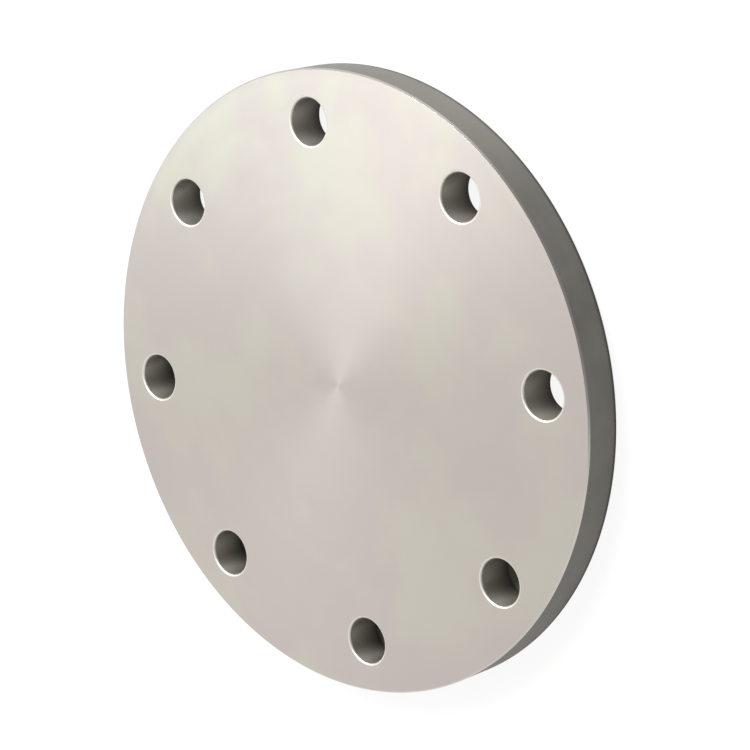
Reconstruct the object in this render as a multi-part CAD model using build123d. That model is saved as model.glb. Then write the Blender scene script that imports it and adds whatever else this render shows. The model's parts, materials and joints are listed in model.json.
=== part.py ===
"""Flat-face blind flange, drilled for DN 125 PN 6 pipe flanges, cut from plate and turned all over.

It is one solid piece of steel that closes the end of a pipe line. Its frame is its own: the origin is
the centre of the outer face, which the flange lies on, and +Z runs along the flange's axis to the
sealing face. The bolt holes straddle the X and Y centre lines, as flange holes do.
All sizes are in millimetres.
"""

import os

from build123d import *

# Driving sizes of the turned plate
outer_diameter = 240.0
thickness = 16.0
rim_chamfer = 0.6

# Driving sizes of the bolting
bolt_count = 8
bolt_diameter = 16.0
bolt_clearance = 2.0
bolt_edge_distance = 20.0
bolt_hole_chamfer = 0.5

# How far a cutting tool runs past the face that it cuts
tool_overrun = 1.0

# Sizes that follow
outer_radius = outer_diameter / 2
bolt_hole_radius = (bolt_diameter + bolt_clearance) / 2
bolt_circle_radius = outer_radius - bolt_edge_distance
bolt_pitch_angle = 360 / bolt_count


def turned_plate():
    """The round plate, revolved from half of its section, with both rim edges chamfered."""
    half_section = Polyline(
        (0, 0),
        (outer_radius - rim_chamfer, 0),
        (outer_radius, rim_chamfer),
        (outer_radius, thickness - rim_chamfer),
        (outer_radius - rim_chamfer, thickness),
        (0, thickness),
        close=True,
    )
    return revolve(Plane.XZ * make_face(half_section), Axis.Z)


def bolt_hole_tool():
    """What one bolt hole takes away: a through bore that opens at 45 degrees at both faces."""
    mouth_radius = bolt_hole_radius + bolt_hole_chamfer + tool_overrun
    half_section = Polyline(
        (0, -tool_overrun),
        (mouth_radius, -tool_overrun),
        (bolt_hole_radius, bolt_hole_chamfer),
        (bolt_hole_radius, thickness - bolt_hole_chamfer),
        (mouth_radius, thickness + tool_overrun),
        (0, thickness + tool_overrun),
        close=True,
    )
    return revolve(Plane.XZ * make_face(half_section), Axis.Z)


def blind_flange():
    """The plate with its bolt holes drilled round the bolt circle, half a pitch off the centre lines."""
    places = PolarLocations(bolt_circle_radius, bolt_count, start_angle=bolt_pitch_angle / 2)
    return turned_plate() - [place * bolt_hole_tool() for place in places]


flange = blind_flange()
os.makedirs("parts", exist_ok=True)
export_step(flange, "parts/blind_flange.step")

print(f"bolt circle {2 * bolt_circle_radius:.1f} mm, hole {2 * bolt_hole_radius:.1f} mm")
print(f"solids {len(flange.solids())}, volume {flange.volume / 1000:.1f} cm3")
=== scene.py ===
# %% [markdown]
# # A blind flange in turned steel
#
# A blind flange is a plain round plate that closes the end of a pipe line. This one has a flat face, a rim
# with small chamfers and a ring of bolt holes. Nothing on it moves, so the whole object is one piece, and
# what makes it look real is the finish: steel that a lathe has turned, with grooves too fine to see that
# still bend every highlight.
#
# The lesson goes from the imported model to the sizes, the finishes, the shape, the studio and the camera.

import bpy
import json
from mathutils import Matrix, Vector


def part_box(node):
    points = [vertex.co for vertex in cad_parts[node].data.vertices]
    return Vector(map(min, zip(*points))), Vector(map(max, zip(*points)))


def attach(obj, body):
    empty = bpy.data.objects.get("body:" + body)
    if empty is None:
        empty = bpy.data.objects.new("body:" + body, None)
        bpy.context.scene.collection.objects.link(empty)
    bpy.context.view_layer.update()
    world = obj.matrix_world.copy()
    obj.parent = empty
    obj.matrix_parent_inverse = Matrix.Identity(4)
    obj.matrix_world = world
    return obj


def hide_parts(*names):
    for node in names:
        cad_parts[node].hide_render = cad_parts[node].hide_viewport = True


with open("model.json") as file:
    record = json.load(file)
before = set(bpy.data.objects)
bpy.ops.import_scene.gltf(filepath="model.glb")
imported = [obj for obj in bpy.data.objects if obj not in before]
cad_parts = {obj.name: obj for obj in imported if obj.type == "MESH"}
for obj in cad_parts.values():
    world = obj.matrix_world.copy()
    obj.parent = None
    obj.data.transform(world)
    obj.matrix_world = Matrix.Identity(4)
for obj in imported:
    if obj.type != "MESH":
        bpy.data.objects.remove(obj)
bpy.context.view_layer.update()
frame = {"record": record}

# %% [markdown]
# ## Sizes
#
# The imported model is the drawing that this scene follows. Its box gives the plate's radius and thickness,
# and its record gives the bolt circle. Only the chamfers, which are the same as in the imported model, are
# written here, in millimetres, as a machinist would say them. Blender works in metres.

# %% Sizes of the plate and of its bolting
import json
import math

import bpy
from mathutils import Euler, Matrix, Vector

MM = 0.001

plate_low, plate_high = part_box("blind_flange")
outer_radius = plate_high.x
thickness = plate_high.z - plate_low.z

bolting = next(m for m in frame["record"]["mounts"] if m["name"] == "bolt_circle")["dims"]
bolt_circle_radius = bolting["pcd_mm"] / 2 * MM
bolt_hole_radius = bolting["hole_r_mm"] * MM
bolt_count = bolting["count"]

rim_chamfer = 0.6 * MM
hole_chamfer = 0.5 * MM
print(f"plate {2 * outer_radius / MM:.1f} x {thickness / MM:.1f} mm, {bolt_count} holes of "
      f"{2 * bolt_hole_radius / MM:.1f} mm on {2 * bolt_circle_radius / MM:.1f} mm")

# %% [markdown]
# ## One helper for every node
#
# Both the shape and the finishes are node trees. One small function adds a node, sets its settings and
# fills its inputs, either with a value or with another node's output. An input is given by its name, or by
# its number where a node has several of one name.

# %% The helper
def add(tree, kind, inputs=None, **settings):
    """Adds a node to the tree, with its settings, and with each input set to a value or linked."""
    node = tree.nodes.new(kind)
    for name, value in settings.items():
        setattr(node, name, value)
    for name, value in (inputs or {}).items():
        if isinstance(value, bpy.types.NodeSocket):
            tree.links.new(value, node.inputs[name])
        else:
            node.inputs[name].default_value = value
    return node


# %% [markdown]
# ## Colours and bare metal
#
# The colours are written as sRGB hex values, as a colour picker gives them, and Blender's shaders want them
# linear. One function turns them, and another empties a new node tree. The five finishes of the flange are
# all bare steel, cut in five ways, so a third function starts each of them as a metal with the default IOR.
# Cut steel has grooves that all run one way, and light spreads square to them much further than along them.
# The shader calls this anisotropy, and its tangent points the way that the light spreads. No cut is quite
# even either, so a fourth function lets the roughness follow one or more patterns.

# %% From sRGB hex to linear, and a metal to start from
def linear(hex_colour):
    """An sRGB hex colour as a linear colour with full alpha."""
    parts = [int(hex_colour[at:at + 2], 16) / 255 for at in (0, 2, 4)]
    return [part / 12.92 if part <= 0.04045 else ((part + 0.055) / 1.055) ** 2.4 for part in parts] + [1.0]


def bare_tree(owner):
    """The node tree of a material or of the world, emptied of what Blender puts into it."""
    owner.use_nodes = True
    owner.node_tree.nodes.clear()
    return owner.node_tree


def cut_steel(name, roughness, anisotropic):
    """A metal material of one even roughness, with its tree and its shader to build on."""
    material = bpy.data.materials.new(name)
    tree = bare_tree(material)
    shader = add(tree, "ShaderNodeBsdfPrincipled", {"Metallic": 1.0, "Roughness": roughness,
                                                    "Anisotropic": anisotropic})
    add(tree, "ShaderNodeOutputMaterial", {"Surface": shader.outputs[0]})
    return material, tree, shader


def make_uneven(tree, shader, smoothest, shares):
    """Roughness that starts at the smoothest and changes with each pattern by its share."""
    roughness = smoothest
    for pattern, share in shares:
        roughness = add(tree, "ShaderNodeMath", {0: pattern, 1: share, 2: roughness},
                        operation="MULTIPLY_ADD").outputs[0]
    tree.links.new(roughness, shader.inputs["Roughness"])


print("linear C4BCB4:", [round(part, 3) for part in linear("C4BCB4")])

# %% [markdown]
# ## Grime and painted shade
#
# A flange is handled, stacked and set down on dirty floors. Its walls and edges are drawn darkest near the
# lower face, partly as grime, where oil and dust stay, and partly as painted shade, where the plate meets
# the floor. The darkening thins out with the height above the lower face. It could be painted on by hand,
# but a rule that reads only the height fits the rim and every hole alike.

# %% Grime and painted shade that thin out with height
# A dark colour for grime, and for painted shade near the lower face.
shade_and_grime_colour = "35332F"


def shaded_and_grimy(tree, tint, start, full, share):
    """The tint, turned to painted shade and grime from the start to the full height, to a share of it."""
    place = add(tree, "ShaderNodeTexCoord").outputs["Object"]
    height = add(tree, "ShaderNodeSeparateXYZ", {0: place}).outputs["Z"]
    shade_and_grime = add(tree, "ShaderNodeMapRange", {"Value": height, "From Min": start, "From Max": full,
                                             "To Max": share}).outputs[0]
    return add(tree, "ShaderNodeMix", {"Factor": shade_and_grime, "A": tint, "B": linear(shade_and_grime_colour)},
               data_type="RGBA").outputs["Result"]


print("grime of", shade_and_grime_colour)

# %% [markdown]
# ## The face: bare steel, face-turned
#
# The face was cut by a tool that moved slowly outwards while the plate turned. It left one fine groove
# round and round, about four to the millimetre. Each groove is too fine to see, but its walls lean towards
# the middle and away from it, so light spreads along the radius and less across it. That is what draws the
# bright fan that starts at the centre. Grooves so fine could be modelled, but they would only flicker, so
# the shader's anisotropy stands for them, with its tangent along the radius.
#
# The grooves vary a little, as feed and tool wear do. That is drawn as rings about a millimetre wide,
# coarser than the real ones, so that they show at all, and as wider bands that differ a little in gloss.
# Rinsing and drying leave faint clouds, some yellowish and some pinkish. The noise that draws them goes on
# for ever, and an offset picks the stretch of it that lies on the plate. Handling leaves a few hair
# scratches, which are noise stretched over a hundred times along one way, with only its crests kept.

# %% Face-turned steel: colour and the way of its grooves
face_finish, tree, shader = cut_steel("Face-turned steel", roughness=0.34, anisotropic=0.42)
place = add(tree, "ShaderNodeTexCoord").outputs["Object"]
flat_place = add(tree, "ShaderNodeVectorMath", {0: place, 1: (1, 1, 0)}, operation="MULTIPLY").outputs[0]
radius = add(tree, "ShaderNodeVectorMath", {0: flat_place}, operation="LENGTH").outputs["Value"]
outwards = add(tree, "ShaderNodeVectorMath", {0: flat_place}, operation="NORMALIZE").outputs[0]
tree.links.new(outwards, shader.inputs["Tangent"])

cloud_size = 48 * MM
cloud_offset = (0.37, -0.9, 0.01)
cloud_starts = 0.38
cloud_full = 0.62
yellowish_steel = "C2BDB2"
pinkish_steel = "BFB6B1"
cloud_place = add(tree, "ShaderNodeVectorMath", {0: place, 1: cloud_offset}).outputs[0]
clouds = add(tree, "ShaderNodeTexNoise", {"Vector": cloud_place, "Scale": 1 / cloud_size, "Detail": 3.0,
                                          "Roughness": 0.55}).outputs["Fac"]
clouds = add(tree, "ShaderNodeMapRange", {"Value": clouds, "From Min": cloud_starts,
                                          "From Max": cloud_full},
             interpolation_type="SMOOTHSTEP").outputs[0]
tints = add(tree, "ShaderNodeMix", {"Factor": clouds, "A": linear(yellowish_steel),
                                    "B": linear(pinkish_steel)}, data_type="RGBA")
tree.links.new(tints.outputs["Result"], shader.inputs["Base Color"])
print(face_finish.name, "with clouds of", round(cloud_size / MM), "mm")

# %% Face-turned steel: rings, scratches and what they do to the gloss
ring_width = 1.1 * MM
ring_depth = 0.01 * MM
band_width = ring_width / 0.12
scratch_width = 0.35 * MM
scratch_length = 45 * MM
scratch_depth = 0.006 * MM
scratch_turn = math.radians(28)
scratch_starts = 0.76
scratch_full = 0.84
rings = add(tree, "ShaderNodeTexNoise", {"W": radius, "Scale": 1 / ring_width, "Detail": 2.0},
            noise_dimensions="1D").outputs["Fac"]
bands = add(tree, "ShaderNodeTexNoise", {"W": radius, "Scale": 1 / band_width, "Detail": 1.0},
            noise_dimensions="1D").outputs["Fac"]
stretched = add(tree, "ShaderNodeMapping", {"Vector": place, "Rotation": (0, 0, scratch_turn),
                                            "Scale": (1 / scratch_length, 1 / scratch_width, 1.0)})
scratches = add(tree, "ShaderNodeTexNoise", {"Vector": stretched.outputs[0], "Scale": 1.0, "Detail": 0.0})
crests = add(tree, "ShaderNodeMapRange", {"Value": scratches.outputs["Fac"], "From Min": scratch_starts,
                                          "From Max": scratch_full}).outputs[0]

make_uneven(tree, shader, smoothest=0.315, shares=[(bands, 0.05), (clouds, 0.01), (crests, -0.05)])
relief = add(tree, "ShaderNodeMath", {0: crests, 1: -scratch_depth / ring_depth, 2: rings},
             operation="MULTIPLY_ADD")
bump = add(tree, "ShaderNodeBump", {"Height": relief.outputs[0], "Strength": 0.3, "Distance": ring_depth})
tree.links.new(bump.outputs[0], shader.inputs["Normal"])
print("rings", round(ring_width / MM, 1), "mm wide, scratches", round(scratch_width / MM, 2), "mm")

# %% [markdown]
# ## The rim: bare steel, turned
#
# The rim is turned as the face is, but its grooves run round the plate, so light spreads along the axis and
# the tangent is the axis itself. A rim seals nothing, so it is left as the roughing tool cut it: coarser,
# and darker. Its deep grooves hold oil and scale, and its tint is partly painted shade as well, which keeps
# the upright rim darker than the face. The feed was about a third of a millimetre a turn. It is drawn at
# twice that, so that its lines just show, with blotches where hands have held it.

# %% Turned rim steel
feed_width = 0.7 * MM
feed_depth = 0.02 * MM
blotch_size = 14 * MM
# Both rim tints are partly painted shade, which keeps the upright rim dark.
cleaner_rim = "7C7A75"
darker_rim = "6D6B65"
rim_finish, tree, shader = cut_steel("Rough-turned rim steel", roughness=0.5, anisotropic=0.8)
place = add(tree, "ShaderNodeTexCoord").outputs["Object"]
height = add(tree, "ShaderNodeSeparateXYZ", {0: place}).outputs["Z"]
along_axis = add(tree, "ShaderNodeCombineXYZ", {"Z": 1.0}).outputs[0]
tree.links.new(along_axis, shader.inputs["Tangent"])
blotches = add(tree, "ShaderNodeTexNoise", {"Vector": place, "Scale": 1 / blotch_size, "Detail": 4.0,
                                            "Roughness": 0.6}).outputs["Fac"]
tints = add(tree, "ShaderNodeMix", {"Factor": blotches, "A": linear(cleaner_rim), "B": linear(darker_rim)},
            data_type="RGBA").outputs["Result"]
# Grime and painted shade darken the rim towards the lower face.
tints = shaded_and_grimy(tree, tints, start=2.4 * MM, full=0.6 * MM, share=0.9)
tree.links.new(tints, shader.inputs["Base Color"])
make_uneven(tree, shader, smoothest=0.44, shares=[(blotches, 0.12)])
grooves = add(tree, "ShaderNodeTexNoise", {"W": height, "Scale": 1 / feed_width, "Detail": 1.0},
              noise_dimensions="1D")
bump = add(tree, "ShaderNodeBump", {"Height": grooves.outputs["Fac"], "Strength": 0.35,
                                    "Distance": feed_depth})
tree.links.new(bump.outputs[0], shader.inputs["Normal"])
print(rim_finish.name, "with feed lines", round(feed_width / MM, 1), "mm wide")

# %% [markdown]
# ## The bolt holes: bare steel, drilled
#
# A drill leaves one groove that winds down the hole as a screw thread does, because the drill sinks a
# little with each turn. It could be cut as a real thread, but it is less than a hundredth of a millimetre
# deep, so a bump in the material is enough: a sine of the height plus the angle round the hole's own axis.
# The angle comes from the attribute that the shape keeps for it, and one full turn of it is one whole wave,
# so the groove has no seam. A drill of this size sinks about 0.3 mm a turn, which is too fine to show, so
# the groove is drawn over four times as coarse. Between the grooves the drill's lips leave fine streaks.

# %% Drilled bore steel
drill_feed = 1.4 * MM
groove_depth = 0.0075 * MM
streak_size = 3 * MM
streak_squeeze = 6.0
streak_depth = 0.03 * MM
brighter_bore = "B0AAA0"
darker_bore = "9C9891"
bore_finish, tree, shader = cut_steel("Drilled bore steel", roughness=0.5, anisotropic=0.7)
along_axis = add(tree, "ShaderNodeCombineXYZ", {"Z": 1.0}).outputs[0]
tree.links.new(along_axis, shader.inputs["Tangent"])
offset = add(tree, "ShaderNodeAttribute", attribute_name="from_axis").outputs["Vector"]
parts = add(tree, "ShaderNodeSeparateXYZ", {0: offset}).outputs
angle = add(tree, "ShaderNodeMath", {0: parts["Y"], 1: parts["X"]}, operation="ARCTAN2")
winding = add(tree, "ShaderNodeMath", {0: parts["Z"], 1: math.tau / drill_feed, 2: angle.outputs[0]},
              operation="MULTIPLY_ADD")
groove = add(tree, "ShaderNodeMath", {0: winding.outputs[0]}, operation="SINE").outputs[0]
place = add(tree, "ShaderNodeTexCoord").outputs["Object"]
stretched = add(tree, "ShaderNodeMapping", {"Vector": place, "Scale": (1.0, 1.0, streak_squeeze)})
streaks = add(tree, "ShaderNodeTexNoise", {"Vector": stretched.outputs[0], "Scale": 1 / streak_size,
                                           "Detail": 3.0}).outputs["Fac"]
tints = add(tree, "ShaderNodeMix", {"Factor": streaks, "A": linear(brighter_bore),
                                    "B": linear(darker_bore)}, data_type="RGBA").outputs["Result"]
# Grime and painted shade darken the bore towards its lower end.
tints = shaded_and_grimy(tree, tints, start=14 * MM, full=0.8 * MM, share=0.85)
tree.links.new(tints, shader.inputs["Base Color"])
relief = add(tree, "ShaderNodeMath", {0: groove, 1: groove_depth / streak_depth, 2: streaks},
             operation="MULTIPLY_ADD")
bump = add(tree, "ShaderNodeBump", {"Height": relief.outputs[0], "Strength": 0.3, "Distance": streak_depth})
tree.links.new(bump.outputs[0], shader.inputs["Normal"])
print(bore_finish.name, "with a groove every", round(drill_feed / MM, 1), "mm")

# %% [markdown]
# ## The rim's edges: bare steel, chamfered in the lathe
#
# The rim's chamfers are cut last, with a keen tool and little feed, so they are the smoothest metal on the
# plate: a narrow mirror that shows the bright and the dim sides of the room in turn. They are too narrow
# for a groove to show, so they need neither a bump nor a grain. Small changes in gloss show where the tool
# was pressed a little harder.

# %% Chamfered rim steel
press_size = 6 * MM
brighter_chamfer = "CFC9C2"
darker_chamfer = "C2BDB7"
rim_edge_finish, tree, shader = cut_steel("Chamfered rim steel", roughness=0.14, anisotropic=0.0)
place = add(tree, "ShaderNodeTexCoord").outputs["Object"]
presses = add(tree, "ShaderNodeTexNoise", {"Vector": place, "Scale": 1 / press_size,
                                           "Detail": 2.0}).outputs["Fac"]
tints = add(tree, "ShaderNodeMix", {"Factor": presses, "A": linear(brighter_chamfer),
                                    "B": linear(darker_chamfer)}, data_type="RGBA").outputs["Result"]
# Grime and painted shade darken the lower chamfer into a dark line along the back edge.
tints = shaded_and_grimy(tree, tints, start=0.9 * MM, full=0.5 * MM, share=1.0)
tree.links.new(tints, shader.inputs["Base Color"])
make_uneven(tree, shader, smoothest=0.1, shares=[(presses, 0.05)])
print(rim_edge_finish.name, "has", len(tree.nodes), "nodes")

# %% [markdown]
# ## The holes' edges: bare steel, deburred by hand
#
# A drill leaves a burr, and a deburring tool turned by hand takes it off. It scrapes in every direction, so
# this metal has no grain, and it is the last metal to be bared, so it is the brightest: a pale ring round
# every hole. Its pale tint is partly painted highlight as well, which keeps the ring bright all the way
# round. The scrapes could be modelled, but the ring is only half a millimetre deep, so a little noise in
# its tint and gloss is enough to make it uneven, as hand work is.

# %% Deburred hole edge steel
scrape_size = 2.5 * MM
# The pale ring tints are partly painted highlight.
brighter_ring = "DEDAD1"
darker_ring = "CECAC2"
hole_edge_finish, tree, shader = cut_steel("Deburred hole edge steel", roughness=0.5, anisotropic=0.0)
place = add(tree, "ShaderNodeTexCoord").outputs["Object"]
scrapes = add(tree, "ShaderNodeTexNoise", {"Vector": place, "Scale": 1 / scrape_size,
                                           "Detail": 2.0}).outputs["Fac"]
tints = add(tree, "ShaderNodeMix", {"Factor": scrapes, "A": linear(brighter_ring),
                                    "B": linear(darker_ring)}, data_type="RGBA").outputs["Result"]
# Grime and painted shade darken the holes' lower edges.
tints = shaded_and_grimy(tree, tints, start=1.2 * MM, full=0.7 * MM, share=1.0)
tree.links.new(tints, shader.inputs["Base Color"])
make_uneven(tree, shader, smoothest=0.46, shares=[(scrapes, 0.1)])
print(hole_edge_finish.name, "has", len(tree.nodes), "nodes")

# %% [markdown]
# ## A turned wall
#
# The rim and the bolt holes are the same kind of surface: a wall round an axis, chamfered where it meets
# the two faces. A lathe makes it by running a profile round the axis, and Curve to Mesh does the same. The
# profile is a line through eight points, drawn once, and Fillet Curve rounds its corners a little, because
# a chamfer that came off a tool has no knife edges. The line also takes in a narrow strip of each face, so
# that the rounding ends on flat metal. `Side` is -1 for a rim, whose faces lie inwards of the wall, and 1
# for a hole, whose faces lie outwards of it. Curve to Mesh turns the profile's Y downwards, so it is drawn
# with its heights below zero.

# %% The turned wall as a node group
wall = bpy.data.node_groups.new("Turned wall", "GeometryNodeTree")
for name, kind in (("Radius", "Float"), ("Height", "Float"), ("Chamfer", "Float"), ("Edge round", "Float"),
                   ("Strip", "Float"), ("Side", "Float"), ("Segments", "Int")):
    wall.interface.new_socket(name=name, in_out="INPUT", socket_type="NodeSocket" + kind)
wall.interface.new_socket(name="Mesh", in_out="OUTPUT", socket_type="NodeSocketGeometry")
asked = add(wall, "NodeGroupInput").outputs

strip_end = add(wall, "ShaderNodeMath", {0: asked["Chamfer"], 1: asked["Strip"]}, operation="ADD").outputs[0]
top_start = add(wall, "ShaderNodeMath", {0: asked["Height"], 1: asked["Chamfer"]},
                operation="SUBTRACT").outputs[0]
top_strip = add(wall, "ShaderNodeMath", {0: asked["Height"], 1: strip_end}, operation="SUBTRACT").outputs[0]
corners = [(strip_end, 0.0), (asked["Chamfer"], 0.0), (0.0, asked["Chamfer"]), (0.0, strip_end),
           (0.0, top_strip), (0.0, top_start), (asked["Chamfer"], asked["Height"]),
           (strip_end, asked["Height"])]

corner = add(wall, "GeometryNodeIndexSwitch", {"Index": add(wall, "GeometryNodeInputIndex").outputs[0]},
             data_type="VECTOR")
while len(corner.index_switch_items) < len(corners):
    corner.index_switch_items.new()
for number, (inset, height) in enumerate(corners):
    point = add(wall, "ShaderNodeCombineXYZ", {"X": inset, "Y": height})
    wall.links.new(point.outputs[0], corner.inputs[number + 1])
side = add(wall, "ShaderNodeCombineXYZ", {"X": asked["Side"], "Y": -1.0})
profile_point = add(wall, "ShaderNodeVectorMath", {0: corner.outputs[0], 1: side.outputs[0]},
                    operation="MULTIPLY")

corner_points = 4
line = add(wall, "GeometryNodeMeshLine", {"Count": len(corners)})
line = add(wall, "GeometryNodeSetPosition", {"Geometry": line.outputs[0],
                                             "Position": profile_point.outputs[0]})
line = add(wall, "GeometryNodeMeshToCurve", {"Mesh": line.outputs[0]})
profile = add(wall, "GeometryNodeFilletCurve", {"Curve": line.outputs[0], "Radius": asked["Edge round"],
                                                "Count": corner_points}, mode="POLY")
path = add(wall, "GeometryNodeCurvePrimitiveCircle", {"Radius": asked["Radius"],
                                                      "Resolution": asked["Segments"]})
swept = add(wall, "GeometryNodeCurveToMesh", {"Curve": path.outputs[0], "Profile Curve": profile.outputs[0]})
add(wall, "NodeGroupOutput", {0: swept.outputs[0]})
print("turned wall:", len(wall.nodes), "nodes,", len(corners), "points in the profile")

# %% [markdown]
# ## The drilled plate: its inputs
#
# The plate's shape follows a rule: one wall round the rim, the same wall round each bolt hole, and a flat
# face at each end between them. A boolean could cut the holes out of a disc, but its cuts leave uneven
# edges that round badly. Here each face is filled between circles instead, and ends where the walls begin.
# The tree has a named input for each size and each finish, so that another plate is only other numbers.

# %% The plate's tree and its inputs
plate = bpy.data.node_groups.new("Drilled plate", "GeometryNodeTree")
for name, kind in (("Outer radius", "Float"), ("Thickness", "Float"), ("Rim chamfer", "Float"),
                   ("Bolt circle radius", "Float"), ("Hole radius", "Float"), ("Hole chamfer", "Float"),
                   ("Hole count", "Int"), ("Rim edge round", "Float"), ("Hole edge round", "Float"),
                   ("Strip", "Float"), ("Rim segments", "Int"), ("Hole segments", "Int"), ("Weld", "Float"),
                   ("Face finish", "Material"), ("Rim finish", "Material"), ("Bore finish", "Material"),
                   ("Rim edge finish", "Material"), ("Hole edge finish", "Material")):
    plate.interface.new_socket(name=name, in_out="INPUT", socket_type="NodeSocket" + kind)
plate.interface.new_socket(name="Mesh", in_out="OUTPUT", socket_type="NodeSocketGeometry")
given = add(plate, "NodeGroupInput").outputs
print("the plate's tree has", len(plate.interface.items_tree) - 1, "inputs")

# %% [markdown]
# ## Walls and outlines
#
# Three functions serve the rim and the holes alike: one for a wall, one for the circle where its strip of
# face ends, and one that gives a finish. Each wall keeps the offset from its own axis as an attribute on
# its points, because the drill marks in a hole turn round that axis and not round the plate's. Each wall
# also gets two finishes, by the way that its surface faces: one where it stands upright, and that of its
# edge where it tilts. An attribute could mark the edges too, but the way they face says it already.

# %% One wall, and the circle where it meets the flat
def turned_wall(radius, chamfer, edge_round, side, segments):
    """One turned wall of the plate's height, with its offset from its own axis kept on its points."""
    made = add(plate, "GeometryNodeGroup", node_tree=wall)
    for name, value in (("Radius", radius), ("Height", given["Thickness"]), ("Chamfer", chamfer),
                        ("Edge round", edge_round), ("Strip", given["Strip"]), ("Segments", segments)):
        plate.links.new(value, made.inputs[name])
    made.inputs["Side"].default_value = side
    return add(plate, "GeometryNodeStoreNamedAttribute",
               {"Geometry": made.outputs[0], "Name": "from_axis",
                "Value": add(plate, "GeometryNodeInputPosition").outputs[0]},
               data_type="FLOAT_VECTOR", domain="POINT").outputs[0]


def face_outline(radius, chamfer, segments, sign):
    """The circle where a wall's strip of face ends: inside a rim by chamfer and strip, or outside a hole."""
    reach = add(plate, "ShaderNodeMath", {0: chamfer, 1: given["Strip"]}, operation="ADD")
    edge = add(plate, "ShaderNodeMath", {0: reach.outputs[0], 1: sign, 2: radius}, operation="MULTIPLY_ADD")
    return add(plate, "GeometryNodeCurvePrimitiveCircle",
               {"Radius": edge.outputs[0], "Resolution": segments}).outputs[0]


def finished(geometry, finish, selection=None):
    """The geometry with one of the given finishes, on all of it or on the selected faces."""
    coated = add(plate, "GeometryNodeSetMaterial", {"Geometry": geometry, "Material": given[finish]})
    if selection:
        plate.links.new(selection, coated.inputs["Selection"])
    return coated.outputs[0]


print("the plate's tree is at", len(plate.nodes), "nodes")

# %% The rim's wall and a hole's wall, each with its finishes
upright_to = 0.03
level_from = 0.9999
facing = add(plate, "ShaderNodeSeparateXYZ", {0: add(plate, "GeometryNodeInputNormal").outputs[0]})
facing = add(plate, "ShaderNodeMath", {0: facing.outputs["Z"]}, operation="ABSOLUTE").outputs[0]
tilted = add(plate, "FunctionNodeCompare", {"A": facing, "B": upright_to}, operation="GREATER_THAN")
level = add(plate, "FunctionNodeCompare", {"A": facing, "B": level_from}, operation="GREATER_THAN")

rim_wall = turned_wall(given["Outer radius"], given["Rim chamfer"], given["Rim edge round"], -1.0,
                       given["Rim segments"])
rim_wall = add(plate, "GeometryNodeFlipFaces", {"Mesh": rim_wall}).outputs[0]
rim_wall = finished(finished(rim_wall, "Rim finish"), "Rim edge finish", tilted.outputs[0])
hole_wall = turned_wall(given["Hole radius"], given["Hole chamfer"], given["Hole edge round"], 1.0,
                        given["Hole segments"])
hole_wall = finished(finished(hole_wall, "Bore finish"), "Hole edge finish", tilted.outputs[0])
print("walls drawn, tree at", len(plate.nodes), "nodes")

# %% [markdown]
# ## Holes on the bolt circle
#
# Eight holes are one hole, instanced on eight points of a circle. The holes straddle the plate's centre
# lines, as flange holes do, so that ring of points is turned by half a pitch. An instance is only a
# reference, so each set is made real at once, and can then be filled and welded.

# %% Places of the holes
hole_places = add(plate, "GeometryNodeMeshCircle", {"Vertices": given["Hole count"],
                                                    "Radius": given["Bolt circle radius"]})
half_pitch = add(plate, "ShaderNodeMath", {0: math.pi, 1: given["Hole count"]}, operation="DIVIDE")
half_turn = add(plate, "ShaderNodeCombineXYZ", {"Z": half_pitch.outputs[0]})
hole_places = add(plate, "GeometryNodeTransform", {"Geometry": hole_places.outputs[0],
                                                   "Rotation": half_turn.outputs[0]})


def drilled(geometry):
    """One of something at each bolt hole, made real."""
    rows = add(plate, "GeometryNodeInstanceOnPoints", {"Points": hole_places.outputs[0],
                                                       "Instance": geometry})
    return add(plate, "GeometryNodeRealizeInstances", {"Geometry": rows.outputs[0]}).outputs[0]


def joined(*geometries):
    """Several geometries as one."""
    join = add(plate, "GeometryNodeJoinGeometry")
    for geometry in geometries:
        plate.links.new(geometry, join.inputs[0])
    return join.outputs[0]


print("holes turned by", round(180 / bolt_count, 1), "degrees from the centre line")

# %% [markdown]
# ## The faces, and all of it as one
#
# Fill Curve fills the plate's outline less the holes' outlines, which gives the lower face when it is
# turned over and the upper face when it is raised. Then everything is welded and shaded smooth. The walls
# brought their finishes with them, so only what lies level gets one now: the faces, and the strips of face
# that the walls end in.

# %% The whole plate
outlines = joined(face_outline(given["Outer radius"], given["Rim chamfer"], given["Rim segments"], -1.0),
                  drilled(face_outline(given["Hole radius"], given["Hole chamfer"],
                                       given["Hole segments"], 1.0)))
flat = add(plate, "GeometryNodeFillCurve", {"Curve": outlines}, mode="TRIANGLES")
flat = finished(flat.outputs[0], "Face finish")
raised = add(plate, "ShaderNodeCombineXYZ", {"Z": given["Thickness"]})
upper_face = add(plate, "GeometryNodeTransform", {"Geometry": flat, "Translation": raised.outputs[0]})
lower_face = add(plate, "GeometryNodeFlipFaces", {"Mesh": flat})

whole = joined(rim_wall, drilled(hole_wall), upper_face.outputs[0], lower_face.outputs[0])
whole = add(plate, "GeometryNodeMergeByDistance", {"Geometry": whole, "Distance": given["Weld"]})
whole = add(plate, "GeometryNodeSetShadeSmooth", {"Geometry": whole.outputs[0]})
whole = add(plate, "GeometryNodeRealizeInstances", {"Geometry": whole.outputs[0]}).outputs[0]
whole = finished(whole, "Face finish", level.outputs[0])
add(plate, "NodeGroupOutput", {0: whole})
print("drilled plate:", len(plate.nodes), "nodes")

# %% [markdown]
# ## The flange itself
#
# The tree runs on an empty object, and its result becomes a plain mesh, which is the finished piece. It
# stands for the imported node, whose mesh has the same form with fewer facets. The chamfers on the rim stay
# crisp. The holes' edges were rounded by hand with a deburring tool, so they are softer, and with their
# pale tint, partly painted highlight, they catch light all round each hole.

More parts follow.
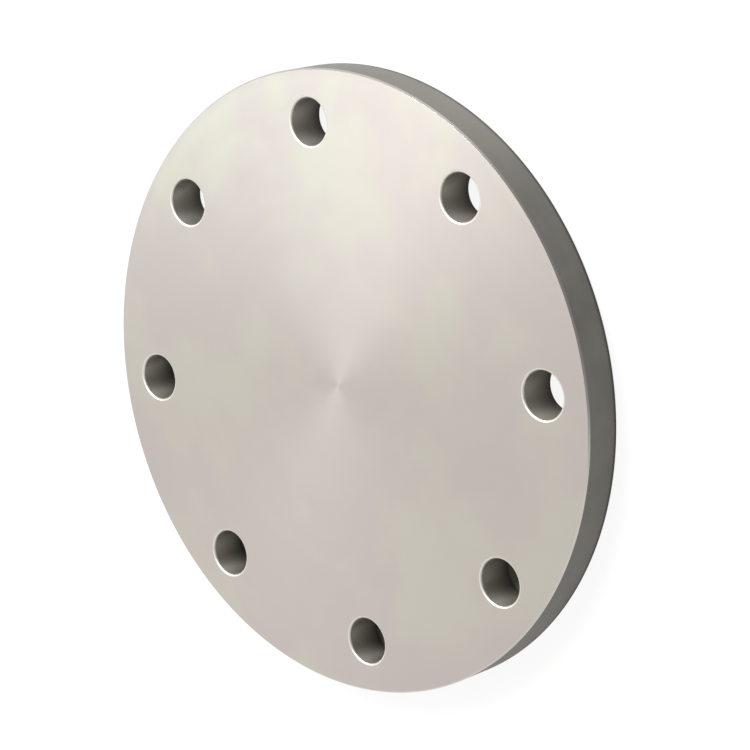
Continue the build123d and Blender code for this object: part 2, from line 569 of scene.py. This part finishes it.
# %% Run the tree and keep its mesh
def placed(name, data):
    """A new object that holds the data, put into the scene at the origin."""
    made = bpy.data.objects.new(name, data)
    bpy.context.scene.collection.objects.link(made)
    return made


face_strip = 0.7 * MM
rim_edge_round = 0.01 * MM
hole_edge_round = 0.8 * MM
rim_segments = 512
hole_segments = 96
weld = 0.001 * MM

carrier = placed("plate_carrier", bpy.data.meshes.new("plate_carrier"))
turning = carrier.modifiers.new("Drilled plate", "NODES")
turning.node_group = plate
sockets = {item.name: item.identifier for item in plate.interface.items_tree if item.in_out == "INPUT"}
for name, value in (("Outer radius", outer_radius), ("Thickness", thickness), ("Rim chamfer", rim_chamfer),
                    ("Bolt circle radius", bolt_circle_radius), ("Hole radius", bolt_hole_radius),
                    ("Hole chamfer", hole_chamfer), ("Hole count", bolt_count),
                    ("Rim edge round", rim_edge_round), ("Hole edge round", hole_edge_round),
                    ("Strip", face_strip), ("Rim segments", rim_segments),
                    ("Hole segments", hole_segments), ("Weld", weld), ("Face finish", face_finish),
                    ("Rim finish", rim_finish), ("Bore finish", bore_finish),
                    ("Rim edge finish", rim_edge_finish), ("Hole edge finish", hole_edge_finish)):
    turning[sockets[name]] = value

result = carrier.evaluated_get(bpy.context.evaluated_depsgraph_get())
flange = placed("turned_flange", bpy.data.meshes.new_from_object(result))
bpy.data.objects.remove(carrier)
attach(flange, "root")
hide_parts("blind_flange")
for slot, material in enumerate(flange.data.materials):
    used = sum(face.material_index == slot for face in flange.data.polygons)
    print("flange:", used, "faces of", material.name)

# %% [markdown]
# ## The floor
#
# The flange lies on white paper. Paper that is only lit would render a little grey, so what the camera
# sees of it is mostly a plain white glow of strength 1, and the rest is real paper, which keeps the
# flange's soft shadow. Metal is a mirror of its surroundings, so glossy rays see the glow as well. Close to
# the flange and under its holes the paper lies in shade, though, and the rim and the bores, which show just
# that part of it, would shine without reason. Ambient occlusion holds the glow back there, for glossy rays
# alone. From below the paper is clear, so that the back can be looked at too. The back mirrors the paper
# that it lies on and would look black, so a ray that is hardly longer than the gap sees the glow in full.

# %% White paper floor
floor_reach = 20.0
floor_gap = 0.05 * MM
floor_mesh = bpy.data.meshes.new("floor")
floor_mesh.from_pydata([(x * floor_reach, y * floor_reach, -floor_gap)
                        for x, y in ((-1, -1), (1, -1), (1, 1), (-1, 1))], [], [(0, 1, 2, 3)])
floor = placed("floor", floor_mesh)
print("floor", 2 * floor_reach, "m square")

# %% The paper's material
def clear_from_below(tree, top):
    """Ends a material's tree so that its upper side has the given shader and its lower side isn't seen."""
    clear = add(tree, "ShaderNodeBsdfTransparent")
    under = add(tree, "ShaderNodeNewGeometry").outputs["Backfacing"]
    sides = add(tree, "ShaderNodeMixShader", {0: under, 1: top.outputs[0], 2: clear.outputs[0]})
    add(tree, "ShaderNodeOutputMaterial", {"Surface": sides.outputs[0]})


glow_share = 0.9
shade_reach = 40 * MM
touching_reach = 3 * floor_gap
paper = bpy.data.materials.new("White paper")
tree = bare_tree(paper)
lit = add(tree, "ShaderNodeBsdfDiffuse", {"Color": linear("F8F7F5")})
glow = add(tree, "ShaderNodeEmission", {"Color": (1, 1, 1, 1), "Strength": 1.0})
ray = add(tree, "ShaderNodeLightPath").outputs
open_floor = add(tree, "ShaderNodeAmbientOcclusion", {"Distance": shade_reach})
touching = add(tree, "ShaderNodeMath", {0: ray["Ray Length"], 1: touching_reach}, operation="LESS_THAN")
mirrored = add(tree, "ShaderNodeMath", {0: open_floor.outputs["AO"], 1: touching.outputs[0]},
               operation="MAXIMUM")
mirrored = add(tree, "ShaderNodeMath", {0: ray["Is Glossy Ray"], 1: mirrored.outputs[0]},
               operation="MULTIPLY")
seen = add(tree, "ShaderNodeMath", {0: ray["Is Camera Ray"], 1: ray["Is Transmission Ray"]},
           operation="MAXIMUM")
seen = add(tree, "ShaderNodeMath", {0: seen.outputs[0], 1: mirrored.outputs[0]}, operation="MAXIMUM")
share = add(tree, "ShaderNodeMath", {0: seen.outputs[0], 1: glow_share}, operation="MULTIPLY")
clear_from_below(tree, add(tree, "ShaderNodeMixShader", {0: share.outputs[0], 1: lit.outputs[0],
                                                         2: glow.outputs[0]}))
floor_mesh.materials.append(paper)
print(paper.name, "glows by", glow_share)

# %% [markdown]
# ## A card of painted shade under half of the plate
#
# White paper shines through every hole that the camera looks far enough into. A dark card under one half of
# the plate is painted shade: it keeps the holes there dark to the bottom, as if shadow lay under them, and
# the plate hides the rest of it. It is a half disc, a little smaller than the plate, and as clear from below
# as the paper. The bores mirror the paper and not the card, so all of them shine alike.

# %% Dark card of painted shade
card_radius = 117 * MM
card_depth = 0.03 * MM
card_middle = 135
card_step = 5
card_mesh = bpy.data.meshes.new("card")
card_edge = [math.radians(card_middle + angle) for angle in range(-90, 91, card_step)]
card_mesh.from_pydata([(card_radius * math.cos(angle), card_radius * math.sin(angle), -card_depth)
                       for angle in card_edge], [], [range(len(card_edge))])
card = placed("card", card_mesh)
card.visible_glossy = False

# The card's dark colour is painted shade in the holes above it.
shade_card_material = bpy.data.materials.new("Shade card")
tree = bare_tree(shade_card_material)
clear_from_below(tree, add(tree, "ShaderNodeBsdfDiffuse", {"Color": linear("75736D")}))
card_mesh.materials.append(shade_card_material)
print("card of", round(card_radius / MM), "mm radius")

# %% [markdown]
# ## The studio round it
#
# The world could be a picture of a real studio, but its colours would tint the steel. It is an even white
# instead, at which a colour renders about as it is written. One side is darker: where the camera stands, a
# studio has no lamps. Flat metal hardly shows it, but the chamfers do, and it draws the dark line along the
# near edge.

# %% World
def way(azimuth, elevation):
    """The unit vector that points to an azimuth and an elevation, both in degrees."""
    turn = math.radians(azimuth)
    rise = math.radians(elevation)
    return Vector((math.cos(turn) * math.cos(rise), math.sin(turn) * math.cos(rise), math.sin(rise)))


camera_side = way(-88, 38)
dim_starts = math.radians(58)
dim_full = math.radians(12)
studio_white = "FFFFFF"
camera_grey = "9C9C9C"
studio_light = 0.97
world = bpy.data.worlds.new("Studio")
bpy.context.scene.world = world
tree = bare_tree(world)
direction = add(tree, "ShaderNodeTexCoord").outputs["Generated"]
towards = add(tree, "ShaderNodeVectorMath", {0: direction, 1: camera_side}, operation="DOT_PRODUCT")
dimming = add(tree, "ShaderNodeMapRange", {"Value": towards.outputs["Value"],
                                           "From Min": math.cos(dim_starts),
                                           "From Max": math.cos(dim_full)},
              interpolation_type="SMOOTHSTEP")
sky = add(tree, "ShaderNodeMix", {"Factor": dimming.outputs[0], "A": linear(studio_white),
                                  "B": linear(camera_grey)}, data_type="RGBA")
background = add(tree, "ShaderNodeBackground", {"Color": sky.outputs["Result"], "Strength": studio_light})
add(tree, "ShaderNodeOutputWorld", {"Surface": background.outputs[0]})
print("the dim side points", [round(part, 2) for part in camera_side])

# %% [markdown]
# ## The camera
#
# The camera looks down on the face from about 45 degrees, a metre away, with a long lens, and it is rolled
# so that the plate seems to stand on its edge. It could be placed by eye, but its place and its lens were
# worked out from the outlines of the rim and of the holes in the photograph. Its turn, tilt and roll are
# given in that order about the point that it looks at.

# %% Camera
aim = Vector((-3.22, -20.14, 16.0)) * MM
camera_distance = 996.9 * MM
camera_turn = math.radians(-9.121)
camera_tilt = math.radians(44.489)
camera_roll = math.radians(-105.937)
lens_length = 128.505
sensor_width = 36
stand = (Euler((0, 0, camera_turn)).to_matrix() @ Euler((camera_tilt, 0, 0)).to_matrix()
         @ Euler((0, 0, camera_roll)).to_matrix())
camera = placed("camera", bpy.data.cameras.new("camera"))
camera.matrix_world = Matrix.Translation(aim + stand @ Vector((0, 0, camera_distance))) @ stand.to_4x4()
camera.data.lens = lens_length
camera.data.sensor_width = sensor_width
bpy.context.scene.camera = camera
bpy.context.scene.view_settings.view_transform = "Standard"
print("camera at", [round(part, 3) for part in camera.matrix_world.translation])

# %% [markdown]
# ## Two lamps
#
# The key lamp makes the bright fan on the face. It is placed by what it does: the face would mirror it to
# the camera at one spot near the rim, so it stands where a ray from the camera goes after bouncing there.
# The side lamp is the strong one, and stands to one side, where the flat face doesn't mirror it to the
# camera. It lights one end of the rim, and one side of the inside of every bolt hole.

# %% Lamps
def lamp(name, target, lamp_way, distance, size, power, colour):
    """A round area lamp that shines on the target from the given way."""
    made = placed(name, bpy.data.lights.new(name, "AREA"))
    made.data.shape = "DISK"
    made.data.size = size
    made.data.energy = power
    made.data.color = linear(colour)[:3]
    made.location = target + lamp_way * distance
    made.rotation_euler = lamp_way.to_track_quat("Z", "Y").to_euler()
    return made


key_spot_radius = 120 * MM
key_spot_angle = math.radians(-20)
spot = Vector((key_spot_radius * math.cos(key_spot_angle), key_spot_radius * math.sin(key_spot_angle),
               thickness))
seen_from = (camera.matrix_world.translation - spot).normalized()
key_way = Vector((-seen_from.x, -seen_from.y, seen_from.z))
key_lamp = lamp("key_lamp", spot, key_way, distance=1.2, size=0.3, power=0.48, colour="F1FBFF")

middle = Vector((0, 0, thickness))
side_lamp = lamp("side_lamp", middle, way(-10, 50), distance=1.2, size=0.6, power=20.5, colour="FFFFFF")
for made in (key_lamp, side_lamp):
    print(made.name, "at", [round(part, 2) for part in made.location])
